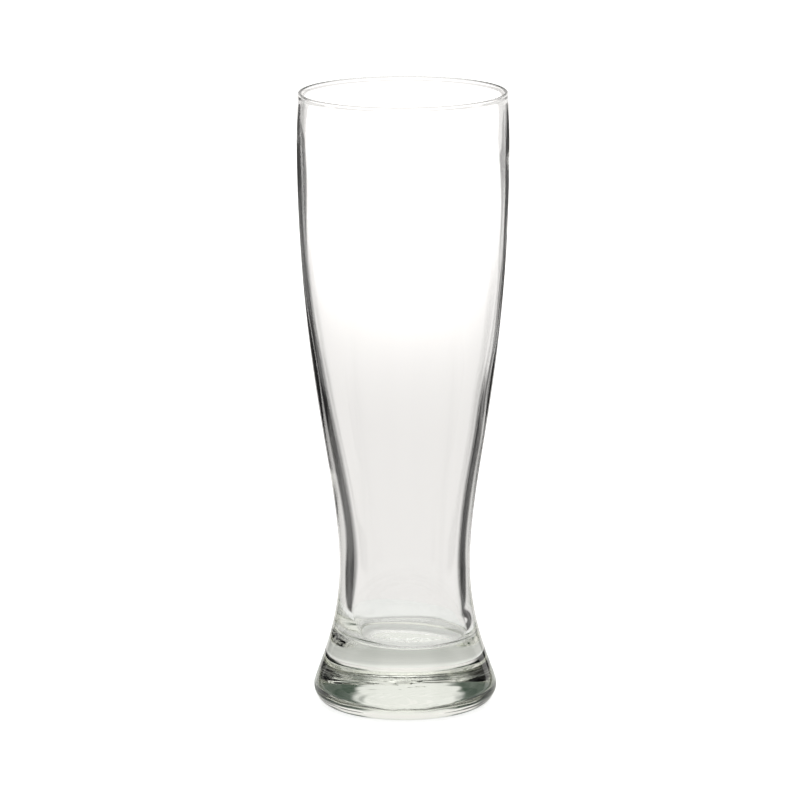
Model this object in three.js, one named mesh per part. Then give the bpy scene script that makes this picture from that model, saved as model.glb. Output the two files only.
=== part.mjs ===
// Pilsner glass: a clear, free-standing drinking glass with a fire-polished rim, a tall bowl, a narrow
// waist and a heavy flared foot. It is turned about the z axis and stands on the plane z = 0.
import * as THREE from 'three';

// Driving dimensions, in millimetres. Rises are stacked from the table up.
const FOOT_DIAMETER = 66.5;
const HEEL_RISE = 7; // table to the widest ring of the foot
const HEEL_WIDTH = 7; // how far the rounded heel draws in under the foot
const BEARING_WIDTH = 4; // flat ring that touches the table
const PUNT_DEPTH = 1.5; // hollow under the foot, inside the bearing ring
const FLANK_RISE = 45; // widest ring of the foot to the waist
const FLANK_START = 4.6; // how long the flank stays upright above the heel
const FLANK_END = 25.5; // how long it leads into the waist
const WAIST_DIAMETER = 47.5;
const BOWL_RISE = 155; // waist to the widest ring of the bowl
const BOWL_START = 35; // how long the bowl stays upright above the waist
const BOWL_END = 85; // how long it leads into its widest ring
const BOWL_DIAMETER = 76.3;
const LIP_RISE = 18; // widest ring of the bowl to the top of the rim
const RIM_DIAMETER = 75.2;
const BEAD_THICKNESS = 1.4; // fire-polished edge of the rim
const BEAD_RISE = 2.2; // height of the bead, down to the plain wall

// Glass left under and around the inside, with walls measured level.
const FLOOR_THICKNESS = 22.5; // table to the lowest point of the inside
const FLOOR_REACH = 18.5; // how far the floor runs flat from the axis
const CORNER_RISE = 5.5; // floor to the start of the wall
const CORNER_DROP = 4.5; // how sharply the wall turns into the floor
const WELL_DIAMETER = 41.4; // inside, where the wall turns into the floor
const WELL_START = 6; // how long the inside stays upright above the floor
const WELL_END = 10; // how long it leads into the waist
const WALL_AT_WAIST = 4.5;
const WALL_AT_RIM = 1.05; // thickness that the wall thins to
const WALL_FADE = 72.7; // rise above the waist over which most of the thinning is done
const WALL_POWER = 1.65; // above 1, the thinning starts slowly

// Level planes where one zone of the glass ends and the next begins.
const FOOT_TOP_RISE = 1.5; // lowest point of the inside to the top of the solid foot
const COLLAR_RISE = 58; // waist to the collar, where the bowl begins

// Steps of the turned surfaces.
const ROUND_SEGMENTS = 48;
const HEEL_STEPS = 5;
const PUNT_STEPS = 4;
const FLANK_STEPS = 5;
const FLOOR_STEPS = 4;
const CORNER_STEPS = 5;
const WELL_STEPS = 5;
const WAIST_STEPS = 8;
const BOWL_STEPS = 11;
const LIP_STEPS = 2;
const BEAD_STEPS = 6;

// Halvings that find a height on a curve, to far below a micrometre.
const HALVINGS = 40;

// Heights and radii that follow from the sizes above.
const footRadius = FOOT_DIAMETER / 2;
const waistRadius = WAIST_DIAMETER / 2;
const bowlRadius = BOWL_DIAMETER / 2;
const rimRadius = RIM_DIAMETER / 2;
const wellRadius = WELL_DIAMETER / 2;
const waistHeight = HEEL_RISE + FLANK_RISE;
const bowlHeight = waistHeight + BOWL_RISE;
const rimHeight = bowlHeight + LIP_RISE;
const beadHeight = rimHeight - BEAD_RISE;
const collarHeight = waistHeight + COLLAR_RISE;
const cornerHeight = FLOOR_THICKNESS + CORNER_RISE;
const footTopHeight = FLOOR_THICKNESS + FOOT_TOP_RISE;
const bearingOuterRadius = footRadius - HEEL_WIDTH;
const bearingInnerRadius = bearingOuterRadius - BEARING_WIDTH;

const point = (radius, height) => new THREE.Vector2(radius, height);

// Outside of the glass, as curves that each rise from one named ring to the next.
const flankCurve = new THREE.CubicBezierCurve(
  point(footRadius, HEEL_RISE),
  point(footRadius, HEEL_RISE + FLANK_START),
  point(waistRadius, waistHeight - FLANK_END),
  point(waistRadius, waistHeight),
);
const bowlCurve = new THREE.CubicBezierCurve(
  point(waistRadius, waistHeight),
  point(waistRadius, waistHeight + BOWL_START),
  point(bowlRadius, bowlHeight - BOWL_END),
  point(bowlRadius, bowlHeight),
);
const lipCurve = new THREE.QuadraticBezierCurve(
  point(bowlRadius, bowlHeight),
  point(bowlRadius, bowlHeight + LIP_RISE / 2),
  point(rimRadius, rimHeight),
);

// Place along a rising curve at a given height, found by halving.
function parameterAt(curve, height) {
  let low = 0;
  let high = 1;
  for (let i = 0; i < HALVINGS; i += 1) {
    const middle = (low + high) / 2;
    if (curve.getPoint(middle).y < height) {
      low = middle;
    } else {
      high = middle;
    }
  }
  return (low + high) / 2;
}

// Points of a rising curve between two heights, with the ends placed exactly.
function stretch(curve, lowHeight, highHeight, steps) {
  const start = parameterAt(curve, lowHeight);
  const end = parameterAt(curve, highHeight);
  return Array.from({ length: steps + 1 }, (_, i) => {
    const place = curve.getPoint(THREE.MathUtils.lerp(start, end, i / steps));
    if (i === 0) {
      place.y = lowHeight;
    }
    if (i === steps) {
      place.y = highHeight;
    }
    return place;
  });
}

function outerRadius(height) {
  let curve = lipCurve;
  if (height < waistHeight) {
    curve = flankCurve;
  } else if (height < bowlHeight) {
    curve = bowlCurve;
  }
  return curve.getPoint(parameterAt(curve, height)).x;
}

// Thickness of the wall at a height above the waist.
function wallThickness(height) {
  const above = (height - waistHeight) / WALL_FADE;
  return WALL_AT_RIM + (WALL_AT_WAIST - WALL_AT_RIM) * Math.exp(-(above ** WALL_POWER));
}

const innerPoint = (height) => point(outerRadius(height) - wallThickness(height), height);

// Inside of the wall from one height up to another.
function innerWall(lowHeight, highHeight, steps) {
  return Array.from({ length: steps + 1 }, (_, i) =>
    innerPoint(THREE.MathUtils.lerp(lowHeight, highHeight, i / steps)),
  );
}

// Inside of the foot: a rounded floor from the axis up to its corner, then a well that narrows to the waist.
const floorCurve = new THREE.CubicBezierCurve(
  point(0, FLOOR_THICKNESS),
  point(FLOOR_REACH, FLOOR_THICKNESS),
  point(wellRadius, cornerHeight - CORNER_DROP),
  point(wellRadius, cornerHeight),
);
const wellCurve = new THREE.CubicBezierCurve(
  point(wellRadius, cornerHeight),
  point(wellRadius, cornerHeight + WELL_START),
  point(waistRadius - WALL_AT_WAIST, waistHeight - WELL_END),
  point(waistRadius - WALL_AT_WAIST, waistHeight),
);

const heelPoints = Array.from({ length: HEEL_STEPS + 1 }, (_, i) => {
  const turn = (Math.PI / 2) * (i / HEEL_STEPS);
  return point(
    bearingOuterRadius + HEEL_WIDTH * Math.sin(turn),
    HEEL_RISE * (1 - Math.cos(turn)),
  );
});

// Shallow hollow under the foot, flat at the axis.
const puntCurve = new THREE.QuadraticBezierCurve(
  point(0, PUNT_DEPTH),
  point(bearingInnerRadius / 2, PUNT_DEPTH),
  point(bearingInnerRadius, 0),
);

function clearGlass(colour) {
  return new THREE.MeshStandardMaterial({
    color: colour,
    roughness: 0.03,
    metalness: 0,
    transparent: true,
    opacity: 0.35,
  });
}

// A turned solid from a profile that runs up its outside and comes back down its inside.
function turned(name, profile, colour) {
  const geometry = new THREE.LatheGeometry(profile, ROUND_SEGMENTS);
  geometry.rotateX(Math.PI / 2);
  const mesh = new THREE.Mesh(geometry, clearGlass(colour));
  mesh.name = name;
  return mesh;
}

// Solid foot: punt, bearing ring, heel and flank, with the middle of the floor on its top.
function makeFoot() {
  const profile = [
    ...puntCurve.getPoints(PUNT_STEPS),
    ...heelPoints,
    ...stretch(flankCurve, HEEL_RISE, footTopHeight, FLANK_STEPS).slice(1),
    ...stretch(floorCurve, FLOOR_THICKNESS, footTopHeight, FLOOR_STEPS).reverse(),
  ];
  return turned('foot', profile, 0xc9d8cd);
}

// Closes a ring profile: its outside going up, its inside coming down, and back to the start.
function ringProfile(outside, inside) {
  return [...outside, ...inside.reverse(), outside[0].clone()];
}

// Thick-walled waist, with the corner of the floor and the well inside it.
function makeWaist() {
  const outside = [
    ...stretch(flankCurve, footTopHeight, waistHeight, FLANK_STEPS),
    ...stretch(bowlCurve, waistHeight, collarHeight, WAIST_STEPS).slice(1),
  ];
  const inside = [
    ...stretch(floorCurve, footTopHeight, cornerHeight, CORNER_STEPS),
    ...stretch(wellCurve, cornerHeight, waistHeight, WELL_STEPS).slice(1),
    ...innerWall(waistHeight, collarHeight, WAIST_STEPS).slice(1),
  ];
  return turned('waist', ringProfile(outside, inside), 0xd3dfd7);
}

// Thin-walled bowl, from the collar to the bead of the rim.
function makeBowl() {
  const outside = [
    ...stretch(bowlCurve, collarHeight, bowlHeight, BOWL_STEPS),
    ...stretch(lipCurve, bowlHeight, beadHeight, LIP_STEPS).slice(1),
  ];
  const inside = innerWall(collarHeight, beadHeight, BOWL_STEPS);
  return turned('bowl', ringProfile(outside, inside), 0xe2ebe5);
}

// Fire-polished bead: the wall swells inward and closes in a half round.
function makeRim() {
  const beadRadius = BEAD_THICKNESS / 2;
  const centreRadius = rimRadius - beadRadius;
  const roundHeight = rimHeight - beadRadius;
  const halfRound = Array.from({ length: BEAD_STEPS + 1 }, (_, i) => {
    const turn = Math.PI * (i / BEAD_STEPS);
    return point(
      centreRadius + beadRadius * Math.cos(turn),
      roundHeight + beadRadius * Math.sin(turn),
    );
  });
  const outside = [point(outerRadius(beadHeight), beadHeight), ...halfRound];
  return turned('rim', ringProfile(outside, [innerPoint(beadHeight)]), 0xe9f0ec);
}

const glass = new THREE.Group();
glass.name = 'pilsner_glass';
glass.add(makeFoot(), makeWaist(), makeBowl(), makeRim());

export default glass;
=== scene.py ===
"""Pilsner glass: one piece of clear glass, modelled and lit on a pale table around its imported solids."""
import math

import bpy
import numpy as np
from bpy.props import FloatProperty, FloatVectorProperty, IntProperty, PointerProperty
from mathutils import Matrix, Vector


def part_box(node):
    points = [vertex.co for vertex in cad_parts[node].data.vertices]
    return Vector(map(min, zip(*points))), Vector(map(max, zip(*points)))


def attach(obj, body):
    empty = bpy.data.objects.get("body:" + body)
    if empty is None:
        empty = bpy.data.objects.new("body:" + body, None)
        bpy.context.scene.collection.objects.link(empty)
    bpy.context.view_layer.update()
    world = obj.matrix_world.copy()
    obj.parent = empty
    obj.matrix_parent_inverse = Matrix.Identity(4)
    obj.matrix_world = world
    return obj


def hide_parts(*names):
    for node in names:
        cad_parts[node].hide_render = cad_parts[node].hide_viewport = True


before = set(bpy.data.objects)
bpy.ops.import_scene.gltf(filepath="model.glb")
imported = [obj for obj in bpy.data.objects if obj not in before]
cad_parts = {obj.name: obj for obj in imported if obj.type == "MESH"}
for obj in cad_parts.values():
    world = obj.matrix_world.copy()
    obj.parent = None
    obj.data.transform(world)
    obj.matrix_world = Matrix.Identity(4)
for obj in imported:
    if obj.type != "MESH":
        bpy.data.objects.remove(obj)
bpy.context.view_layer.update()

bl_info = {
    "name": "Pilsner Glass",
    "version": (1, 0, 0),
    "blender": (4, 5, 0),
    "location": "3D View > Sidebar > Glass",
    "description": "Models a clear pilsner glass and the pale table and light that show it",
    "category": "Add Mesh",
}

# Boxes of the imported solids, in metres, which the sizes below start from.
FOOT_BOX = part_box("foot")
BOWL_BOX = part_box("bowl")
RIM_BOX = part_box("rim")

GLASS_NODES = ("foot", "waist", "bowl", "rim")


def width_of(box):
    return box[1].x - box[0].x


def length(name, description, default):
    return FloatProperty(
        name=name, description=description, default=default, min=0.0, precision=5, unit="LENGTH"
    )


def turn(name, description, degrees):
    return FloatProperty(
        name=name, description=description, default=math.radians(degrees), precision=4, unit="ROTATION"
    )


def share(name, description, default):
    return FloatProperty(name=name, description=description, default=default, min=0.0, precision=4)


class PilsnerGlassSizes(bpy.types.PropertyGroup):
    """Sizes of the glass, in metres."""

    rim_height: length("Rim height", "Table to the top of the rim", RIM_BOX[1].z)
    rim_diameter: length("Rim diameter", "Outside of the rim", 0.0752)
    bead_thickness: length("Bead thickness", "Fire-polished edge of the rim", 0.0014)
    bead_height: length("Bead height", "Table to where the wall swells into the bead", BOWL_BOX[1].z)
    bowl_height: length("Bowl height", "Table to the widest ring of the bowl", 0.207)
    bowl_diameter: length("Bowl diameter", "Widest ring of the bowl", width_of(BOWL_BOX))
    bowl_start: length("Bowl start", "How long the bowl stays upright above the waist", 0.035)
    bowl_end: length("Bowl end", "How long it leads into its widest ring", 0.085)
    waist_height: length("Waist height", "Table to the narrowest ring", 0.052)
    waist_diameter: length("Waist diameter", "Narrowest ring", 0.0475)
    flank_start: length("Flank start", "How long the flank stays upright above the heel", 0.0046)
    flank_end: length("Flank end", "How long it leads into the waist", 0.0255)
    foot_diameter: length("Foot diameter", "Widest ring of the foot", width_of(FOOT_BOX))
    heel_rise: length("Heel rise", "Table to the widest ring of the foot", 0.007)
    heel_width: length("Heel width", "How far the rounded heel draws in", 0.007)
    bearing_width: length("Bearing width", "Flat ring that touches the table", 0.004)
    punt_depth: length("Punt depth", "Hollow under the foot", 0.0015)
    floor_thickness: length("Floor thickness", "Table to the lowest point of the inside", 0.0225)
    floor_reach: length("Floor reach", "How far the floor runs flat from the axis", 0.0185)
    corner_rise: length("Corner rise", "Floor to the start of the wall", 0.0055)
    corner_drop: length("Corner drop", "How sharply the wall turns into the floor", 0.0045)
    well_diameter: length("Well diameter", "Inside, where the wall turns into the floor", 0.0414)
    well_start: length("Well start", "How long the inside stays upright above the corner", 0.006)
    well_end: length("Well end", "How long it leads into the waist", 0.010)
    wall_at_waist: length("Wall at waist", "Level thickness at the narrowest ring", 0.0045)
    wall_at_rim: length("Wall at rim", "Level thickness that the wall thins to", 0.00105)
    wall_fade: length("Wall fade", "Rise above the waist over which the wall thins", 0.0727)
    round_steps: IntProperty(
        name="Round steps", description="Faces around the glass", default=240, min=48
    )


class PilsnerGlassFinish(bpy.types.PropertyGroup):
    """Glass and the marks that making it and using it leave."""

    tint: FloatVectorProperty(
        name="Tint",
        description="Colour left in light that crosses thick glass",
        default=(0.72, 0.76, 0.42),
        subtype="COLOR",
        min=0.0,
        max=1.0,
    )
    tint_density: share("Tint density", "How fast thick glass takes on the tint, per metre", 2.0)
    refraction: share("Refraction", "Index of refraction of soda-lime glass", 1.52)
    smudges: share("Smudges", "Roughness of faint smudges on the bowl", 0.02)
    scuffs: share("Scuffs", "Roughness of the ring that the glass stands on", 0.35)
    ripple: length("Ripple", "Depth of the slow ripple in the surface", 0.00003)
    wall_waves: length("Wall waves", "Unevenness of the blown inside", 0.00008)
    punt_waves: length("Punt waves", "Unevenness of the pressed underside", 0.00016)
    heel_waves: length("Heel waves", "Unevenness of the rounded heel", 0.00006)
    lean_side: turn("Lean side", "Side that the inside leans to, from the x axis", 135.0)
    wall_lean: length("Wall lean", "How far the inside of the waist lies off the axis", 0.0005)
    floor_lean: length("Floor lean", "How much farther the floor lies off the axis", 0.0015)


class PilsnerGlassStage(bpy.types.PropertyGroup):
    """Table, light and camera."""

    view_side: turn("View side", "Side that the camera looks from", 135.0)
    camera_reach: length("Camera reach", "Level distance from the glass to the camera", 1.936)
    camera_height: length("Camera height", "Camera above the table", 0.5214)
    camera_pitch: turn("Camera pitch", "How far the camera looks down", 11.93)
    camera_yaw: turn("Camera yaw", "How far the camera looks past the glass", 0.044)
    camera_roll: turn("Camera roll", "How far the camera is tipped", -0.24)
    lens: FloatProperty(
        name="Lens", description="Focal length of the camera, in millimetres", default=246.4, min=1.0
    )
    table_width: length("Table width", "Across the pale table top", 24.0)
    table_near: length("Near table", "How far from the axis the plain near table reaches", 0.12)
    table_glow: share("Table glow", "Light added to the table as the camera sees it", 0.7)
    light_colour: FloatVectorProperty(
        name="Light colour",
        description="Colour of the studio light in the glass",
        default=(0.8, 0.785, 0.77),
        subtype="COLOR",
        min=0.0,
        max=1.0,
    )
    table_colour: FloatVectorProperty(
        name="Table colour",
        description="Pale top that the glass stands on",
        default=(0.78, 0.78, 0.78),
        subtype="COLOR",
        min=0.0,
        max=1.0,
    )


def smooth_step(value, low, high):
    """Eases from 0 at low to 1 at high."""
    place = np.clip((np.asarray(value, float) - low) / (high - low), 0.0, 1.0)
    return place * place * (3.0 - 2.0 * place)


def bezier(corners, steps):
    """Points of a curve with three or four control points."""
    corners = np.array(corners, float)
    order = len(corners) - 1
    place = np.linspace(0.0, 1.0, steps + 1)[:, None]
    points = np.zeros((steps + 1, 2))
    for i, corner in enumerate(corners):
        weight = math.comb(order, i) * place**i * (1.0 - place) ** (order - i)
        points += weight * corner
    return points


def outside_curves(sizes, steps):
    """Flank, bowl and lip, each rising from one named ring of the outside to the next."""
    foot = sizes.foot_diameter / 2
    waist = sizes.waist_diameter / 2
    bowl = sizes.bowl_diameter / 2
    rim = sizes.rim_diameter / 2
    flank = bezier(
        [
            (foot, sizes.heel_rise),
            (foot, sizes.heel_rise + sizes.flank_start),
            (waist, sizes.waist_height - sizes.flank_end),
            (waist, sizes.waist_height),
        ],
        steps,
    )
    body = bezier(
        [
            (waist, sizes.waist_height),
            (waist, sizes.waist_height + sizes.bowl_start),
            (bowl, sizes.bowl_height - sizes.bowl_end),
            (bowl, sizes.bowl_height),
        ],
        steps,
    )
    lip = bezier(
        [
            (bowl, sizes.bowl_height),
            (bowl, (sizes.bowl_height + sizes.rim_height) / 2),
            (rim, sizes.rim_height),
        ],
        steps,
    )
    return flank, body, lip


def corner_height(sizes):
    """Table to where the floor's corner ends and the wall of the inside begins."""
    return sizes.floor_thickness + sizes.corner_rise


def bead_round_height(sizes):
    """Table to the middle of the bead's half round."""
    return sizes.rim_height - sizes.bead_thickness / 2


# How the wall thins above the waist: slowly at first, then faster.
WALL_POWER = 1.65


def wall_thickness(sizes, height):
    """Level thickness of the wall, thinning upward and swelling again into the bead."""
    above = np.maximum(height - sizes.waist_height, 0.0) / sizes.wall_fade
    thick = (sizes.wall_at_waist - sizes.wall_at_rim) * np.exp(-(above**WALL_POWER))
    wall = sizes.wall_at_rim + thick
    swell = smooth_step(height, sizes.bead_height, bead_round_height(sizes))
    return wall + (sizes.bead_thickness - wall) * swell


def waves(angle, height, terms):
    """Smooth unevenness between about -1 and 1, the same on every run."""
    total = 0.0
    for count, rise, start, amount in terms:
        total = total + amount * np.sin(count * angle + 2.0 * math.pi * height / rise + start)
    return total


# Unevenness: waves around the glass, rise of one wave in metres, start in radians and share.
WALL_WAVES = (
    (1, 0.095, 0.4, 0.40),
    (2, -0.061, 2.1, 0.35),
    (3, 0.043, 4.0, 0.25),
)
PUNT_WAVES = (
    (3, 0.011, 0.3, 0.30),
    (5, -0.008, 1.9, 0.30),
    (9, 0.006, 3.3, 0.22),
    (14, -0.005, 0.8, 0.18),
)
HEEL_WAVES = (
    (7, 0.019, 1.1, 0.35),
    (12, -0.016, 2.7, 0.35),
    (19, 0.014, 0.2, 0.30),
)
# Thick places of the wall: side from the lean in radians, height, spread up and round, and amount.
WALL_SWELLS = (
    (math.pi, 0.126, 0.017, 0.5, 0.00025),
    (0.0, 0.114, 0.013, 0.5, 0.0003),
)


def swells(angle, height):
    """Added thickness of the wall, in metres."""
    total = 0.0
    for side, middle, rise, spread, amount in WALL_SWELLS:
        round_off = np.angle(np.exp(1j * (angle - side))) / spread
        total = total + amount * np.exp(-(round_off**2) - ((height - middle) / rise) ** 2)
    return total


class GlassProfile:
    """Half section of the glass, from the middle of its underside round to the middle of its floor."""

    # Steps along each stretch, and along the fine curves that give the outer radius at a height.
    FINE_STEPS = 400
    PUNT_STEPS = 30
    BEARING_STEPS = 4
    HEEL_STEPS = 24
    FLANK_STEPS = 45
    BODY_STEPS = 90
    LIP_STEPS = 23
    BEAD_STEPS = 16
    BEAD_WALL_STEPS = 8
    WALL_STEPS = 119
    WELL_STEPS = 30
    FLOOR_STEPS = 60

    def __init__(self, sizes):
        self.sizes = sizes
        self.corner_height = corner_height(sizes)
        self.bead_round = bead_round_height(sizes)
        dense = np.vstack(outside_curves(sizes, self.FINE_STEPS))
        self.dense_radius = dense[:, 0]
        self.dense_height = dense[:, 1]

    def outer_radius(self, height):
        return np.interp(height, self.dense_height, self.dense_radius)

    def inside_wall(self, height):
        radius = self.outer_radius(height) - wall_thickness(self.sizes, height)
        return np.column_stack((radius, height))

    def well(self):
        """Inside of the flared foot, from the waist down to the corner of the floor."""
        sizes = self.sizes
        top = sizes.waist_diameter / 2 - sizes.wall_at_waist
        low = sizes.well_diameter / 2
        return bezier(
            [
                (top, sizes.waist_height),
                (top, sizes.waist_height - sizes.well_end),
                (low, self.corner_height + sizes.well_start),
                (low, self.corner_height),
            ],
            self.WELL_STEPS,
        )

    def underside(self):
        """Punt and bearing ring."""
        sizes = self.sizes
        outer = sizes.foot_diameter / 2 - sizes.heel_width
        inner = outer - sizes.bearing_width
        depth = sizes.punt_depth
        punt = bezier([(0.0, depth), (inner / 2, depth), (inner, 0.0)], self.PUNT_STEPS)
        ring_radius = np.linspace(inner, outer, self.BEARING_STEPS + 1)
        ring = np.column_stack((ring_radius, np.zeros_like(ring_radius)))
        return np.vstack((punt, ring[1:]))

    def heel(self):
        sizes = self.sizes
        turn_up = np.linspace(0.0, math.pi / 2, self.HEEL_STEPS + 1)
        radius = sizes.foot_diameter / 2 - sizes.heel_width * (1.0 - np.sin(turn_up))
        return np.column_stack((radius, sizes.heel_rise * (1.0 - np.cos(turn_up))))

    def outside(self):
        """Flank, bowl and lip, up to the round of the bead."""
        flank, _, _ = outside_curves(self.sizes, self.FLANK_STEPS)
        _, body, _ = outside_curves(self.sizes, self.BODY_STEPS)
        lip_height = np.linspace(self.sizes.bowl_height, self.bead_round, self.LIP_STEPS + 1)
        lip = np.column_stack((self.outer_radius(lip_height), lip_height))
        return np.vstack((flank[1:], body[1:], lip[1:]))

    def bead(self):
        """Half round over the top of the rim."""
        half = self.sizes.bead_thickness / 2
        centre = float(self.outer_radius(self.bead_round)) - half
        turn_over = np.linspace(0.0, math.pi, self.BEAD_STEPS + 1)
        radius = centre + half * np.cos(turn_over)
        return np.column_stack((radius, self.bead_round + half * np.sin(turn_over)))

    def inside(self):
        """Inside from the bead down to the corner of the floor."""
        sizes = self.sizes
        bead = np.linspace(self.bead_round, sizes.bead_height, self.BEAD_WALL_STEPS + 1)
        wall = np.linspace(sizes.bead_height, sizes.waist_height, self.WALL_STEPS + 1)
        above = self.inside_wall(np.concatenate((bead[1:], wall[1:])))
        return np.vstack((above, self.well()[1:]))

    def floor(self):
        sizes = self.sizes
        well = sizes.well_diameter / 2
        return bezier(
            [
                (well, self.corner_height),
                (well, self.corner_height - sizes.corner_drop),
                (sizes.floor_reach, sizes.floor_thickness),
                (0.0, sizes.floor_thickness),
            ],
            self.FLOOR_STEPS,
        )[1:]

    def stretches(self):
        """The named stretches of the section, in order."""
        return {
            "underside": self.underside(),
            "heel": self.heel()[1:],
            "outside": self.outside(),
            "bead": self.bead()[1:],
            "inside": self.inside(),
            "floor": self.floor(),
        }


# How far the unevenness takes to come in, in metres: from the axis, from the table, down to the waist.
PUNT_WAVES_REACH = 0.006
HEEL_WAVES_RISE = 0.001
WALL_LEAN_DROP = 0.1
# The floor's own lean begins this many corner rises above the floor.
FLOOR_LEAN_CORNERS = 2.5


def lean_at(height, sizes, finish):
    """How far the inside lies off the axis at a height."""
    wall_top = sizes.waist_height + WALL_LEAN_DROP
    floor_top = sizes.floor_thickness + FLOOR_LEAN_CORNERS * sizes.corner_rise
    lean = finish.wall_lean * smooth_step(height, wall_top, sizes.waist_height)
    return lean + finish.floor_lean * smooth_step(height, floor_top, sizes.floor_thickness)


def uneven_rings(stretches, sizes, finish, angle):
    """Every ring point, with the blown inside, the pressed underside and the heel made uneven."""
    across_rows = []
    along_rows = []
    height_rows = []
    for name, points in stretches.items():
        radius = points[:, :1] + np.zeros_like(angle)
        height = points[:, 1:] + np.zeros_like(angle)
        if name == "inside":
            fade = smooth_step(height, sizes.rim_height, sizes.bowl_height)
            fade = fade * smooth_step(height, corner_height(sizes), sizes.waist_height)
            radius = radius + finish.wall_waves * fade * waves(angle, height, WALL_WAVES)
            radius = radius - swells(angle - finish.lean_side, height)
        if name == "underside":
            fade = smooth_step(height, 0.0, sizes.punt_depth / 2)
            fade = fade * smooth_step(radius, 0.0, PUNT_WAVES_REACH)
            height = height + finish.punt_waves * fade * waves(angle, radius, PUNT_WAVES)
        if name == "heel":
            fade = smooth_step(height, 0.0, HEEL_WAVES_RISE)
            fade = fade * smooth_step(height, sizes.heel_rise, sizes.heel_rise / 2)
            radius = radius + finish.heel_waves * fade * waves(angle, height, HEEL_WAVES)
        lean = np.zeros_like(radius)
        if name in ("inside", "floor"):
            lean = lean_at(height, sizes, finish)
        across_rows.append(radius * np.cos(angle) + lean * math.cos(finish.lean_side))
        along_rows.append(radius * np.sin(angle) + lean * math.sin(finish.lean_side))
        height_rows.append(height)
    return np.stack((np.vstack(across_rows), np.vstack(along_rows), np.vstack(height_rows)), axis=-1)


def turned_mesh(name, rings):
    """Closed mesh of rings, with its first and last rows drawn together into single points."""
    rows, around, _ = rings.shape
    bands = rows - 3  # between the rings that stay whole
    first = rings[0].mean(axis=0)
    last = rings[-1].mean(axis=0)
    points = np.vstack((first, rings[1:-1].reshape(-1, 3), last)).tolist()
    faces = []
    final = len(points) - 1
    top = 1 + bands * around
    for j in range(around):
        k = (j + 1) % around
        faces.append((0, 1 + k, 1 + j))
        for i in range(bands):
            low = 1 + i * around
            high = low + around
            faces.append((low + j, low + k, high + k, high + j))
        faces.append((final, top + j, top + k))
    mesh = bpy.data.meshes.new(name)
    mesh.from_pydata(points, [], faces)
    mesh.shade_smooth()
    mesh.validate()
    return mesh


WHITE = (1.0, 1.0, 1.0)


def opaque(colour):
    """A colour for a shader's socket."""
    return (*colour, 1.0)


def set_input(tree, socket, value):
    """Links an input to another socket, or sets it to a plain number."""
    if isinstance(value, bpy.types.NodeSocket):
        tree.links.new(value, socket)
    else:
        socket.default_value = value


def math_node(tree, operation, *values):
    """Adds a Math node whose inputs are sockets or plain numbers, and returns its output."""
    node = tree.nodes.new("ShaderNodeMath")
    node.operation = operation
    for socket, value in zip(node.inputs, values):
        set_input(tree, socket, value)
    return node.outputs["Value"]


def eased_range(tree, value, limits, results):
    """Adds a Map Range node that eases from one result to the other between the limits."""
    node = tree.nodes.new("ShaderNodeMapRange")
    node.interpolation_type = "SMOOTHSTEP"
    tree.links.new(value, node.inputs["Value"])
    for name, number in zip(("From Min", "From Max", "To Min", "To Max"), (*limits, *results)):
        set_input(tree, node.inputs[name], number)
    return node.outputs["Result"]


def separate(tree, vector):
    """Adds a Separate XYZ node, and returns its outputs."""
    parts = tree.nodes.new("ShaderNodeSeparateXYZ")
    tree.links.new(vector, parts.inputs["Vector"])
    return parts.outputs


def noise_node(tree, place, scale, detail):
    """Adds a Noise Texture read at a place, and returns its even grey value."""
    node = tree.nodes.new("ShaderNodeTexNoise")
    tree.links.new(place, node.inputs["Vector"])
    node.inputs["Scale"].default_value = scale
    node.inputs["Detail"].default_value = detail
    return node.outputs["Fac"]


# Noise behind the marks on the glass: scale per metre, detail and the greys that a mark grows between.
SMUDGE_SCALE = 34.0
SMUDGE_DETAIL = 5.0
SMUDGE_GREYS = (0.5, 0.72)
SCUFF_SCALE = 900.0
SCUFF_DETAIL = 3.0
SCUFF_GREYS = (0.35, 0.65)
RIPPLE_SCALE = 55.0
RIPPLE_DETAIL = 1.0
# Ripples are longer up the glass than round it.
RIPPLE_SQUEEZE = (1.0, 1.0, 0.6)


def glass_roughness(tree, place, height, finish, sizes):
    """Faint smudges on the bowl, and a scuffed ring where the glass stands."""
    bowl_rise = (sizes.waist_height, 2.0 * sizes.waist_height)
    bowl = eased_range(tree, height, bowl_rise, (0.0, finish.smudges))
    smudge_noise = noise_node(tree, place, SMUDGE_SCALE, SMUDGE_DETAIL)
    smudges = eased_range(tree, smudge_noise, SMUDGE_GREYS, (0.0, bowl))
    stand = eased_range(tree, height, (0.0, sizes.punt_depth / 4), (finish.scuffs, 0.0))
    scuff_noise = noise_node(tree, place, SCUFF_SCALE, SCUFF_DETAIL)
    scuffs = eased_range(tree, scuff_noise, SCUFF_GREYS, (0.0, stand))
    return math_node(tree, "MAXIMUM", smudges, scuffs)


def glass_ripple(tree, place, finish):
    """Slow ripple of the blown surface, as a bump."""
    spread = tree.nodes.new("ShaderNodeMapping")
    spread.inputs["Scale"].default_value = RIPPLE_SQUEEZE
    tree.links.new(place, spread.inputs["Vector"])
    noise = noise_node(tree, spread.outputs["Vector"], RIPPLE_SCALE, RIPPLE_DETAIL)
    ripple = tree.nodes.new("ShaderNodeBump")
    ripple.inputs["Strength"].default_value = 1.0
    ripple.inputs["Distance"].default_value = finish.ripple
    tree.links.new(noise, ripple.inputs["Height"])
    return ripple.outputs["Normal"]


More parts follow.
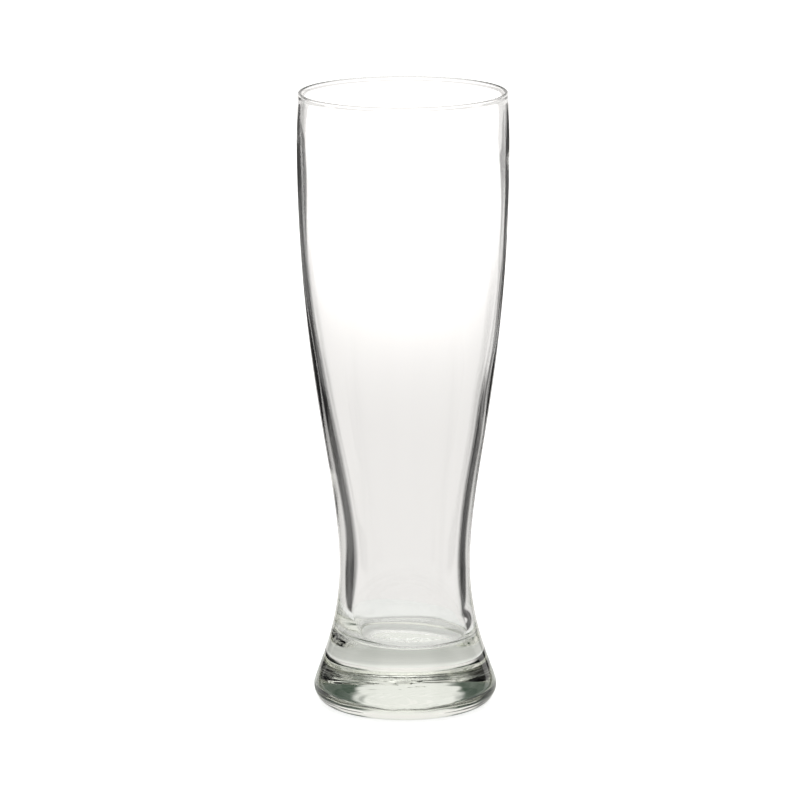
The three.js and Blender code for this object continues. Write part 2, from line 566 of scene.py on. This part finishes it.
def clear_glass(finish, sizes):
    """Clear soda-lime glass: green in the thick, rippled and smudged, scuffed where it stands."""
    material = bpy.data.materials.new("clear_glass")
    material.use_nodes = True
    tree = material.node_tree
    tree.nodes.clear()
    place = tree.nodes.new("ShaderNodeTexCoord").outputs["Object"]
    height = separate(tree, place)["Z"]
    glass = tree.nodes.new("ShaderNodeBsdfPrincipled")
    glass.inputs["Base Color"].default_value = opaque(WHITE)
    glass.inputs["Transmission Weight"].default_value = 1.0
    glass.inputs["IOR"].default_value = finish.refraction
    roughness = glass_roughness(tree, place, height, finish, sizes)
    tree.links.new(roughness, glass.inputs["Roughness"])
    tree.links.new(glass_ripple(tree, place, finish), glass.inputs["Normal"])
    absorption = tree.nodes.new("ShaderNodeVolumeAbsorption")
    absorption.inputs["Color"].default_value = opaque(finish.tint)
    absorption.inputs["Density"].default_value = finish.tint_density
    output = tree.nodes.new("ShaderNodeOutputMaterial")
    tree.links.new(glass.outputs["BSDF"], output.inputs["Surface"])
    tree.links.new(absorption.outputs["Volume"], output.inputs["Volume"])
    return material


class PILSNER_OT_make_glass(bpy.types.Operator):
    """Models the glass as one closed turned piece and gives it its finish"""

    bl_idname = "pilsner.make_glass"
    bl_label = "Make Glass"
    bl_options = {"REGISTER", "UNDO"}

    def execute(self, context):
        sizes = context.scene.pilsner_sizes
        finish = context.scene.pilsner_finish
        stretches = GlassProfile(sizes).stretches()
        angle = np.arange(sizes.round_steps) * (2.0 * math.pi / sizes.round_steps)
        mesh = turned_mesh("pilsner_glass", uneven_rings(stretches, sizes, finish, angle))
        mesh.materials.append(clear_glass(finish, sizes))
        glass = bpy.data.objects.new("pilsner_glass", mesh)
        context.scene.collection.objects.link(glass)
        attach(glass, "root")
        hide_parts(*GLASS_NODES)
        return {"FINISHED"}


# Soft edges of the studio panels, each between two angles in degrees off the middle of the front panel.
FRONT_MIDDLE = 2.0
FRONT_PANEL = (34.0, 48.0)
BACK_PANEL = (70.0, 100.0)
HIGH_FRONT_PANEL = (18.0, 27.0)
HIGH_BACK_PANEL = (132.0, 148.0)
# Windows for the glass's other sides, in degrees from the side of the photograph, and their soft edges.
LEVEL_WINDOWS = (-45.0, -135.0)
HIGH_WINDOWS = (-90.0, 90.0)
WINDOW_HALF = (12.0, 20.0)
# Rises in degrees over which one tier of panels gives way to the next.
LEVEL_TOP = (2.0, 3.0)
MIDDLE_TOP = (11.0, 12.5)
HIGH_TOP = (36.0, 46.0)
# Strengths of the panels, the windows and the dark cards between them.
FRONT_LIGHT = 1.15
BACK_LIGHT = 1.0
MIDDLE_CARD_LIGHT = 0.08
LEVEL_WINDOW_LIGHT = 1.1
HIGH_FRONT_LIGHT = 1.0
HIGH_WINDOW_LIGHT = 0.3
HIGH_CARD_LIGHT = 0.0
CEILING_LIGHT = 0.95
# Faint green over the upper tiers, which the thick foot gathers.
GREEN_COLOUR = (0.36, 0.55, 0.4)
GREEN_RISE = (8.0, 14.0)
GREEN_LIGHT = 0.14

# Painted light and painted shadow on the near table, as the glass shows it: a glow under the foot, none in
# a ring round it, which is a painted contact shadow, then a glow beside it and farther off, and where each
# gives way to the next, in metres from the axis.
UNDER_GLOW = 0.36
PAINTED_SHADOW_START = (0.024, 0.040)
BESIDE_GLOW = 0.27
PAINTED_SHADOW_END = (0.047, 0.062)
FARTHER_GLOW = 0.21
FARTHER_START = (0.08, 0.12)

TABLE_ROUGHNESS = 0.9

# Painted light on the far table, seen only in the glass: glowing strips, between dark bands, that stand in
# for studio panels and cards. Reaches from the axis and half widths are in metres, a share is a half width
# per metre of reach, and sides are in degrees from the side that the camera looks from.
STRIP_EDGE = 0.018
FRONT_STRIP_REACH = (0.15, 0.55)
FRONT_STRIP_HALF = (0.11, 0.186)
FRONT_STRIP_LIGHT_REACH = (0.37, 1.1)
FRONT_STRIP_LIGHT = (1.07, 2.2)
SPREAD_START = 1.0
SPREAD_RATE = 0.9
SPREAD_LIMIT_SHARE = 0.5
SPREAD_LIGHT = 1.3
LEVEL_STRIP_SIDE = -45.0
LEVEL_STRIP_REACH = (0.5, 1.2)
LEVEL_STRIP_SHARE = (0.19, 0.5)
LEVEL_STRIP_LIGHT_REACH = (0.31, 0.38)
LEVEL_STRIP_LIGHT = 1.1
SIDE_STRIP_SIDES = (-90.0, 90.0)
SIDE_STRIP_REACH = (0.27, 0.44)
SIDE_STRIP_SHARE = (0.4, 0.7)
SIDE_STRIP_LIGHT = 0.9
SIDE_MIDDLE_PART = 0.8
SIDE_MIDDLE_LIGHT = 1.07
# Painted dark bands of the far table between its glowing strips, seen only in the glass.
CARD_REACH = (0.25, 0.6)
CARD_LIGHT = (0.03, 0.11)
BACK_TABLE = (100.0, 125.0)
BACK_TABLE_LIGHT = 1.0

# Table top: steps round its edge, and a hair of air under the foot, so that the glass isn't wetted to it.
TABLE_STEPS = 96
AIR_UNDER_FOOT = 0.00005

# Soft box over the table: metres and watts.
SOFT_BOX_WIDTH = 2.4
SOFT_BOX_HEIGHT = 2.2
SOFT_BOX_POWER = 13.0

# Camera's film in millimetres, and how far it sees in metres.
FILM_WIDTH = 36.0
SIGHT_END = 60.0

# Bounces of light: enough to cross both walls and the foot, there and back.
GLASS_BOUNCES = 32
MIRROR_BOUNCES = 16


def camera_ray(tree):
    """1 for what the camera sees straight, and 0 for light by way of the glass."""
    return tree.nodes.new("ShaderNodeLightPath").outputs["Is Camera Ray"]


def straight_or_glass(tree, straight, in_glass):
    """Mixes what the camera sees straight with what shows in the glass."""
    seen = tree.nodes.new("ShaderNodeMixShader")
    tree.links.new(camera_ray(tree), seen.inputs["Fac"])
    tree.links.new(in_glass, seen.inputs[1])
    tree.links.new(straight, seen.inputs[2])
    return seen.outputs["Shader"]


def side_of(tree, parts, stage):
    """Side of a place or direction, seen from above and counted from the side of the photograph."""
    left = math_node(tree, "MULTIPLY", parts["X"], -1.0)
    side = math_node(tree, "ARCTAN2", left, parts["Y"])
    return math_node(tree, "SUBTRACT", side, stage.view_side)


def off_side(tree, side, degrees):
    """Angle between a side and one given in degrees, whichever way round is shorter."""
    off = math_node(tree, "SUBTRACT", side, math.radians(degrees))
    return math_node(tree, "ABSOLUTE", math_node(tree, "WRAP", off, math.pi, -math.pi))


def eased_turn(tree, value, limits, results):
    """As eased_range, with the limits in degrees."""
    return eased_range(tree, value, [math.radians(degrees) for degrees in limits], results)


def bright_windows(tree, side, windows, card, light):
    """Light round the table, bright at each window and fading to the cards between them."""
    for degrees in windows:
        card = eased_turn(tree, off_side(tree, side, degrees), WINDOW_HALF, (light, card))
    return card


def panel_light(tree, side, rise):
    """Strength of the studio by side and rise: bright panels with dark cards between them."""
    off_front = off_side(tree, side, FRONT_MIDDLE)
    middle_card = eased_turn(tree, off_front, BACK_PANEL, (MIDDLE_CARD_LIGHT, BACK_LIGHT))
    middle = eased_turn(tree, off_front, FRONT_PANEL, (FRONT_LIGHT, middle_card))
    level = bright_windows(tree, side, LEVEL_WINDOWS, middle, LEVEL_WINDOW_LIGHT)
    high_card = eased_turn(tree, off_front, HIGH_BACK_PANEL, (HIGH_CARD_LIGHT, BACK_LIGHT))
    high_card = bright_windows(tree, side, HIGH_WINDOWS, high_card, HIGH_WINDOW_LIGHT)
    high = eased_turn(tree, off_front, HIGH_FRONT_PANEL, (HIGH_FRONT_LIGHT, high_card))
    light = eased_turn(tree, rise, LEVEL_TOP, (level, middle))
    light = eased_turn(tree, rise, MIDDLE_TOP, (light, high))
    return eased_turn(tree, rise, HIGH_TOP, (light, CEILING_LIGHT))


def background(tree, colour, strength=None):
    """Adds a Background of one colour, and returns its output."""
    node = tree.nodes.new("ShaderNodeBackground")
    node.inputs["Color"].default_value = opaque(colour)
    if strength is not None:
        tree.links.new(strength, node.inputs["Strength"])
    return node.outputs["Background"]


def studio_world(scene, stage):
    """Bright panels round the table with dark cards between them, under a soft ceiling."""
    world = bpy.data.worlds.new("studio")
    scene.world = world
    world.use_nodes = True
    tree = world.node_tree
    tree.nodes.clear()
    parts = separate(tree, tree.nodes.new("ShaderNodeTexCoord").outputs["Generated"])
    rise = math_node(tree, "ARCSINE", parts["Z"])
    light = panel_light(tree, side_of(tree, parts, stage), rise)
    green_light = eased_turn(tree, rise, GREEN_RISE, (0.0, GREEN_LIGHT))
    lit = tree.nodes.new("ShaderNodeAddShader")
    tree.links.new(background(tree, stage.light_colour, light), lit.inputs[0])
    tree.links.new(background(tree, GREEN_COLOUR, green_light), lit.inputs[1])
    seen = straight_or_glass(tree, background(tree, WHITE), lit.outputs["Shader"])
    output = tree.nodes.new("ShaderNodeOutputWorld")
    tree.links.new(seen, output.inputs["Surface"])


def table_place(tree):
    """Place on the table, with the axis of the glass at its middle."""
    return tree.nodes.new("ShaderNodeNewGeometry").outputs["Position"]


def table_reach(tree, place):
    """Distance of a place on the table from the axis."""
    reach = tree.nodes.new("ShaderNodeVectorMath")
    reach.operation = "LENGTH"
    tree.links.new(place, reach.inputs[0])
    return reach.outputs["Value"]


def pale_material(stage):
    """Pale top, which glows evenly for the camera, so that shadows stay pale; in the glass it glows less,
    with painted light under the foot and a painted contact shadow round it.
    """
    material = bpy.data.materials.new("pale_table")
    material.use_nodes = True
    tree = material.node_tree
    surface = tree.nodes["Principled BSDF"]
    surface.inputs["Base Color"].default_value = opaque(stage.table_colour)
    surface.inputs["Roughness"].default_value = TABLE_ROUGHNESS
    surface.inputs["Specular IOR Level"].default_value = 0.0
    surface.inputs["Emission Color"].default_value = opaque(WHITE)
    reach = table_reach(tree, table_place(tree))
    # Painted contact shadow in the glass: the glow under the foot fades to nothing, and the glow beside it
    # only comes in past a ring round the foot.
    under = eased_range(tree, reach, PAINTED_SHADOW_START, (UNDER_GLOW, 0.0))
    beside = eased_range(tree, reach, FARTHER_START, (BESIDE_GLOW, FARTHER_GLOW))
    glow = tree.nodes.new("ShaderNodeMix")
    tree.links.new(camera_ray(tree), glow.inputs["Factor"])
    tree.links.new(eased_range(tree, reach, PAINTED_SHADOW_END, (under, beside)), glow.inputs["A"])
    glow.inputs["B"].default_value = stage.table_glow
    tree.links.new(glow.outputs["Result"], surface.inputs["Emission Strength"])
    return material


def strip_light(tree, side, reach, half, degrees, light):
    """Painted light of a glowing strip of table, seen in the glass, that runs out from the glass to one
    side.
    """
    off = math_node(tree, "MINIMUM", off_side(tree, side, degrees), math.pi / 2)
    across = math_node(tree, "MULTIPLY", reach, math_node(tree, "SINE", off))
    inner = math_node(tree, "SUBTRACT", half, STRIP_EDGE)
    outer = math_node(tree, "ADD", half, STRIP_EDGE)
    return eased_range(tree, across, (inner, outer), (light, 0.0))


def front_strips(tree, reach):
    """Strip behind the glass in the photograph, and its spread far off: half width, side and light."""
    half = eased_range(tree, reach, FRONT_STRIP_REACH, FRONT_STRIP_HALF)
    light = eased_range(tree, reach, FRONT_STRIP_LIGHT_REACH, FRONT_STRIP_LIGHT)
    beyond = math_node(tree, "SUBTRACT", reach, SPREAD_START)
    spread = math_node(tree, "MULTIPLY", beyond, SPREAD_RATE)
    limit = math_node(tree, "MULTIPLY", reach, SPREAD_LIMIT_SHARE)
    spread = math_node(tree, "MINIMUM", spread, limit)
    return [(half, 0.0, light), (spread, 0.0, SPREAD_LIGHT)]


def level_strip(tree, reach, widest):
    """Strip behind the glass as seen level from one other side: half width, side and light."""
    share_of_reach = eased_range(tree, reach, LEVEL_STRIP_REACH, LEVEL_STRIP_SHARE)
    half = math_node(tree, "MULTIPLY", reach, share_of_reach)
    light = eased_range(tree, reach, LEVEL_STRIP_LIGHT_REACH, (0.0, LEVEL_STRIP_LIGHT))
    return math_node(tree, "MINIMUM", half, widest), LEVEL_STRIP_SIDE, light


def side_strips(tree, reach, widest_middle):
    """Strips to both sides, each with a brighter middle: half width, side and light."""
    share_of_reach = eased_range(tree, reach, SIDE_STRIP_REACH, SIDE_STRIP_SHARE)
    half = math_node(tree, "MULTIPLY", reach, share_of_reach)
    middle = math_node(tree, "MULTIPLY", half, SIDE_MIDDLE_PART)
    middle = math_node(tree, "MINIMUM", middle, widest_middle)
    strips = []
    for degrees in SIDE_STRIP_SIDES:
        strips.append((half, degrees, SIDE_STRIP_LIGHT))
        strips.append((middle, degrees, SIDE_MIDDLE_LIGHT))
    return strips


def far_light(tree, side, reach):
    """Strength of the far table's painted light in the glass: glowing strips between dark bands, and an
    even glow at the back.
    """
    strips = front_strips(tree, reach)
    front_half = strips[0][0]
    spread_half = strips[1][0]
    widest = math_node(tree, "MAXIMUM", front_half, spread_half)
    strips.append(level_strip(tree, reach, widest))
    strips.extend(side_strips(tree, reach, front_half))
    cards = eased_range(tree, reach, CARD_REACH, CARD_LIGHT)
    light = eased_turn(tree, off_side(tree, side, 0.0), BACK_TABLE, (cards, BACK_TABLE_LIGHT))
    for half, degrees, strength in strips:
        strip = strip_light(tree, side, reach, half, degrees, strength)
        light = math_node(tree, "MAXIMUM", light, strip)
    return light


def far_material(stage, pale):
    """Far table: the pale top for the camera, and in the glass painted light: glowing strips between dark
    bands.
    """
    material = pale.copy()
    material.name = "far_table"
    tree = material.node_tree
    place = table_place(tree)
    side = side_of(tree, separate(tree, place), stage)
    light = far_light(tree, side, table_reach(tree, place))
    # Painted light: for glass rays only, the far table glows with its strips and dark bands.
    table = tree.nodes.new("ShaderNodeEmission")
    table.inputs["Color"].default_value = opaque(stage.light_colour)
    tree.links.new(light, table.inputs["Strength"])
    surface = tree.nodes["Principled BSDF"].outputs["BSDF"]
    seen = straight_or_glass(tree, surface, table.outputs["Emission"])
    tree.links.new(seen, tree.nodes["Material Output"].inputs["Surface"])
    return material


def table_ring(scene, name, inner, outer, material):
    """Flat ring of table top about the axis, or a disc where its inner edge is at the axis."""
    turns = np.arange(TABLE_STEPS) * (2.0 * math.pi / TABLE_STEPS)
    around = np.column_stack((np.cos(turns), np.sin(turns), np.zeros(TABLE_STEPS)))
    points = around * outer
    faces = [tuple(range(TABLE_STEPS))]
    if inner > 0.0:
        points = np.vstack((points, around * inner))
        faces = []
        for i in range(TABLE_STEPS):
            k = (i + 1) % TABLE_STEPS
            faces.append((i, k, TABLE_STEPS + k, TABLE_STEPS + i))
    mesh = bpy.data.meshes.new(name)
    mesh.from_pydata(points.tolist(), [], faces)
    mesh.materials.append(material)
    ring = bpy.data.objects.new(name, mesh)
    ring.location = (0.0, 0.0, -AIR_UNDER_FOOT)
    scene.collection.objects.link(ring)


def pale_table(scene, stage):
    """Pale table top: a near disc that the glass stands on, and a far ring round it."""
    near = pale_material(stage)
    far = far_material(stage, near)
    table_ring(scene, "table_near", 0.0, stage.table_near, near)
    table_ring(scene, "table_far", stage.table_near, stage.table_width / 2, far)


def soft_box(scene):
    """Broad light over the table."""
    light = bpy.data.lights.new("soft_box", "AREA")
    light.shape = "DISK"
    light.size = SOFT_BOX_WIDTH
    light.energy = SOFT_BOX_POWER
    box = bpy.data.objects.new("soft_box", light)
    box.location = (0.0, 0.0, SOFT_BOX_HEIGHT)
    scene.collection.objects.link(box)


def photo_camera(scene, stage):
    """Camera at the photograph's viewing angle."""
    data = bpy.data.cameras.new("photo_camera")
    data.lens = stage.lens
    data.sensor_width = FILM_WIDTH
    data.clip_end = SIGHT_END
    camera = bpy.data.objects.new("photo_camera", data)
    scene.collection.objects.link(camera)
    place = Matrix.Translation((0.0, -stage.camera_reach, stage.camera_height))
    aim = Matrix.Rotation(stage.camera_yaw, 4, "Z")
    tilt = Matrix.Rotation(math.pi / 2 - stage.camera_pitch, 4, "X")
    roll = Matrix.Rotation(stage.camera_roll, 4, "Z")
    camera.matrix_world = Matrix.Rotation(stage.view_side, 4, "Z") @ place @ aim @ tilt @ roll
    scene.camera = camera


class PILSNER_OT_make_stage(bpy.types.Operator):
    """Sets the glass on a pale table in soft studio light, in front of the camera"""

    bl_idname = "pilsner.make_stage"
    bl_label = "Make Stage"
    bl_options = {"REGISTER", "UNDO"}

    def execute(self, context):
        scene = context.scene
        stage = scene.pilsner_stage
        studio_world(scene, stage)
        pale_table(scene, stage)
        soft_box(scene)
        photo_camera(scene, stage)
        scene.view_settings.view_transform = "Standard"
        scene.cycles.max_bounces = GLASS_BOUNCES
        scene.cycles.transmission_bounces = GLASS_BOUNCES
        scene.cycles.glossy_bounces = MIRROR_BOUNCES
        return {"FINISHED"}


class PILSNER_PT_panel(bpy.types.Panel):
    """Lists the sizes, the finish and the steps"""

    bl_idname = "PILSNER_PT_panel"
    bl_label = "Pilsner Glass"
    bl_space_type = "VIEW_3D"
    bl_region_type = "UI"
    bl_category = "Glass"

    def draw(self, context):
        scene = context.scene
        for group in (scene.pilsner_sizes, scene.pilsner_finish, scene.pilsner_stage):
            box = self.layout.box()
            for name in group.bl_rna.properties.keys():
                if name not in ("rna_type", "name"):
                    box.prop(group, name)
        self.layout.operator(PILSNER_OT_make_glass.bl_idname)
        self.layout.operator(PILSNER_OT_make_stage.bl_idname)


CLASSES = (
    PilsnerGlassSizes,
    PilsnerGlassFinish,
    PilsnerGlassStage,
    PILSNER_OT_make_glass,
    PILSNER_OT_make_stage,
    PILSNER_PT_panel,
)


def register():
    for cls in CLASSES:
        bpy.utils.register_class(cls)
    bpy.types.Scene.pilsner_sizes = PointerProperty(type=PilsnerGlassSizes)
    bpy.types.Scene.pilsner_finish = PointerProperty(type=PilsnerGlassFinish)
    bpy.types.Scene.pilsner_stage = PointerProperty(type=PilsnerGlassStage)


def unregister():
    del bpy.types.Scene.pilsner_stage
    del bpy.types.Scene.pilsner_finish
    del bpy.types.Scene.pilsner_sizes
    for cls in reversed(CLASSES):
        bpy.utils.unregister_class(cls)


def main():
    register()
    bpy.ops.pilsner.make_glass()
    bpy.ops.pilsner.make_stage()


if __name__ == "__main__":
    main()
